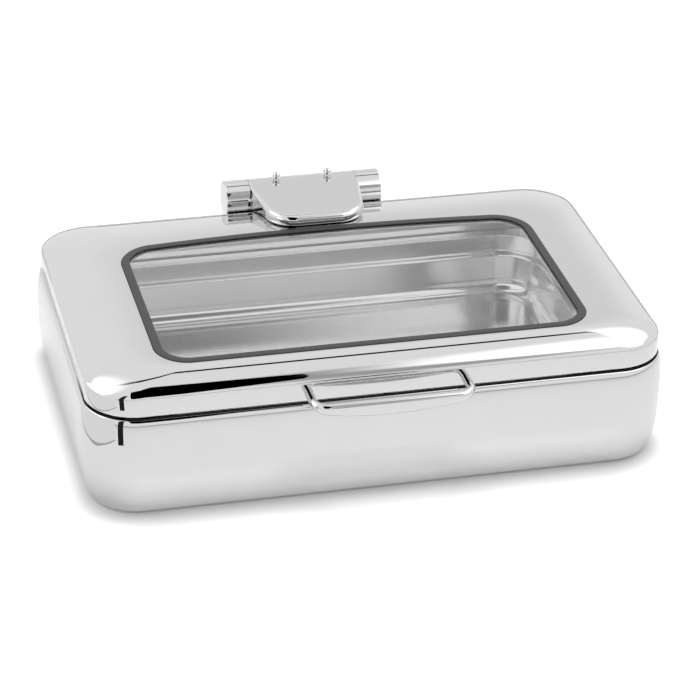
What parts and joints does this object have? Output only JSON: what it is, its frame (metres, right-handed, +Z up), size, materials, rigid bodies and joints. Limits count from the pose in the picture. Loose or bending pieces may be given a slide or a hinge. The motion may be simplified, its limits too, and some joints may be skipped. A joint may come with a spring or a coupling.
{
  "type": "induction chafing dish",
  "caption": "Low rectangular polished chafing dish with a lift-out food pan, a domed lid with a glass window, a bar handle and a rear barrel hinge; stands on an induction hob.",
  "frame": {"origin": "middle of the flat underside that stands on the hob", "axes": "+X along the width to the right seen from the front, +Y from the handle to the hinge, +Z up"},
  "size_m": [0.5902, 0.435, 0.1714],
  "materials": {
    "polished_steel": "mirror-polished stainless steel",
    "satin_steel": "satin stainless steel",
    "induction_steel": "matt magnetic steel",
    "fastener_steel": "plain stainless steel",
    "gasket_rubber": "satin silicone rubber",
    "bumper_silicone": "soft matt silicone",
    "clear_glass": "clear toughened glass",
    "bearing_bronze": "sintered bronze",
    "damper_plastic": "moulded plastic"
  },
  "bodies": {
    "base": {"base_shell": "polished_steel", "induction_plate": "induction_steel", "support_frame": "satin_steel", "lid_bumpers": "bumper_silicone", "hinge_bracket": "polished_steel", "bracket_studs": "fastener_steel", "bracket_nuts": "polished_steel", "hinge_shaft": "fastener_steel", "friction_ring_left": "polished_steel", "friction_ring_right": "polished_steel", "end_cap_left": "polished_steel", "end_cap_right": "polished_steel", "disc_springs": "fastener_steel", "lock_nuts": "fastener_steel"},
    "lid": {"lid_shell": "polished_steel", "window_gasket": "gasket_rubber", "glass_pane": "clear_glass", "window_keeper": "satin_steel", "keeper_studs": "fastener_steel", "keeper_nuts": "fastener_steel", "handle": "polished_steel", "handle_screws": "fastener_steel", "handle_washers": "fastener_steel", "hinge_tongue": "polished_steel", "bearing_plugs": "bearing_bronze", "damper_cartridge": "damper_plastic", "dome_screws": "polished_steel", "backing_plate": "satin_steel", "tongue_screws": "fastener_steel"},
    "pan": {"food_pan": "satin_steel"}
  },
  "joints": [
    {"name": "lid_hinge", "type": "hinge", "parent": "base", "child": "lid", "pos_m": [0, 0.196, 0.1435], "axis": [-1, 0, 0], "range_deg": [0, 90]},
    {"name": "pan_lift", "type": "slide", "parent": "base", "child": "pan", "axis": [0, 0, 1], "range_m": [0, 0.025]}
  ]
}
